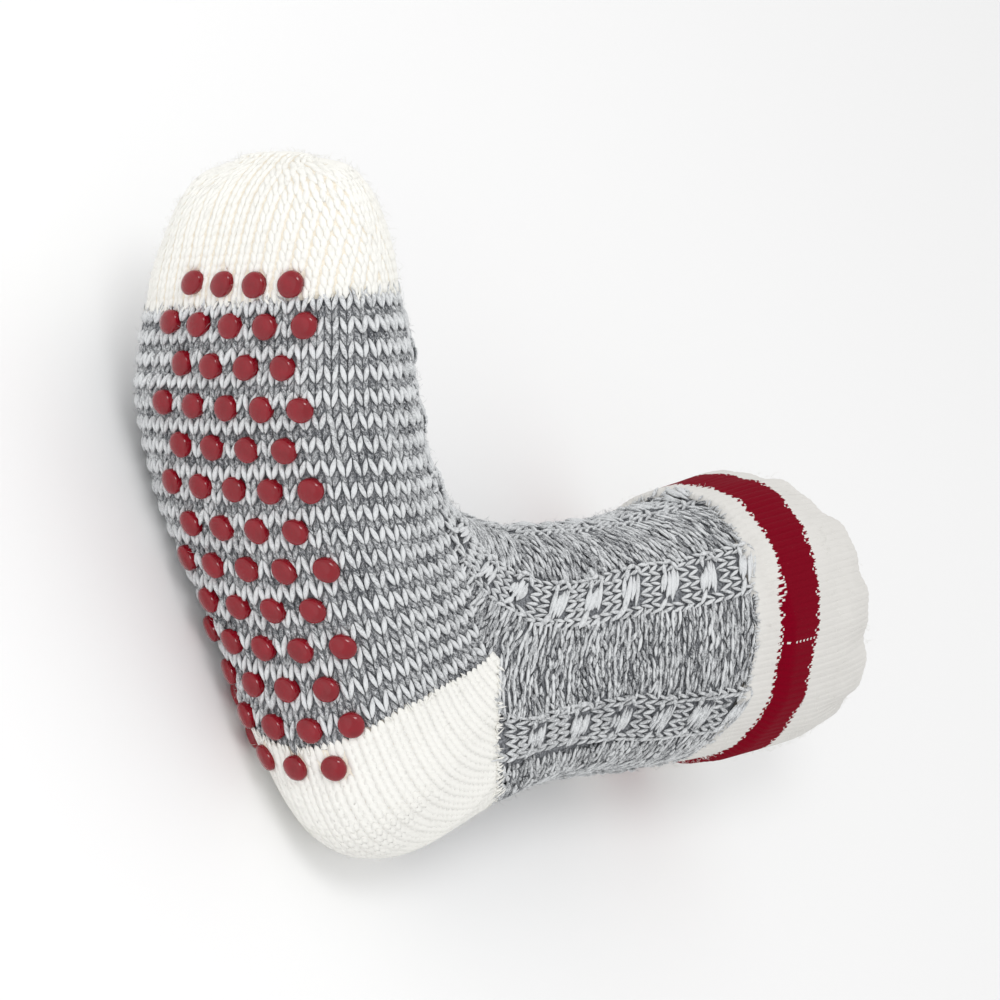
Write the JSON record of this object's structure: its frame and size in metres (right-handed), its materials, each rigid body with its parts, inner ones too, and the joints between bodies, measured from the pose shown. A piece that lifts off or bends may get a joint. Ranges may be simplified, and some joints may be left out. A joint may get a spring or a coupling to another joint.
{
  "type": "slipper sock",
  "caption": "Thick knitted slipper sock with a dotted grip sole, white toe, heel and striped cuff, open at the top for a foot.",
  "frame": {"origin": "centre of the box round the sock, on the surface that it lies on", "axes": "+X from the toe towards the heel, +Y up the leg to the cuff, +Z from the side it lies on to the side that faces up"},
  "size_m": [0.2804, 0.2986, 0.1307],
  "materials": {
    "ragg_wool": "chunky grey and white marled knit, with plain white toe, heel and cuff and one red stripe",
    "grip_red": "glossy raised silicone dots"
  },
  "bodies": {
    "root": {"sock_knit": "ragg_wool", "grip_dot_01_1": "grip_red", "grip_dot_01_2": "grip_red", "grip_dot_01_3": "grip_red", "grip_dot_01_4": "grip_red", "grip_dot_02_1": "grip_red", "grip_dot_02_2": "grip_red", "grip_dot_02_3": "grip_red", "grip_dot_02_4": "grip_red", "grip_dot_02_5": "grip_red", "grip_dot_03_1": "grip_red", "grip_dot_03_2": "grip_red", "grip_dot_03_3": "grip_red", "grip_dot_03_4": "grip_red", "grip_dot_04_1": "grip_red", "grip_dot_04_2": "grip_red", "grip_dot_04_3": "grip_red", "grip_dot_04_4": "grip_red", "grip_dot_04_5": "grip_red", "grip_dot_05_1": "grip_red", "grip_dot_05_2": "grip_red", "grip_dot_05_3": "grip_red", "grip_dot_05_4": "grip_red", "grip_dot_06_1": "grip_red", "grip_dot_06_2": "grip_red", "grip_dot_06_3": "grip_red", "grip_dot_06_4": "grip_red", "grip_dot_06_5": "grip_red", "grip_dot_07_1": "grip_red", "grip_dot_07_2": "grip_red", "grip_dot_07_3": "grip_red", "grip_dot_07_4": "grip_red", "grip_dot_08_1": "grip_red", "grip_dot_08_2": "grip_red", "grip_dot_08_3": "grip_red", "grip_dot_08_4": "grip_red", "grip_dot_08_5": "grip_red", "grip_dot_09_1": "grip_red", "grip_dot_09_2": "grip_red", "grip_dot_09_3": "grip_red", "grip_dot_09_4": "grip_red", "grip_dot_10_1": "grip_red", "grip_dot_10_2": "grip_red", "grip_dot_10_3": "grip_red", "grip_dot_10_4": "grip_red", "grip_dot_10_5": "grip_red", "grip_dot_11_1": "grip_red", "grip_dot_11_2": "grip_red", "grip_dot_11_3": "grip_red", "grip_dot_11_4": "grip_red", "grip_dot_12_1": "grip_red", "grip_dot_12_2": "grip_red", "grip_dot_12_3": "grip_red", "grip_dot_12_4": "grip_red", "grip_dot_12_5": "grip_red", "grip_dot_13_1": "grip_red", "grip_dot_13_2": "grip_red", "grip_dot_13_3": "grip_red", "grip_dot_13_4": "grip_red"}
  },
  "joints": []
}
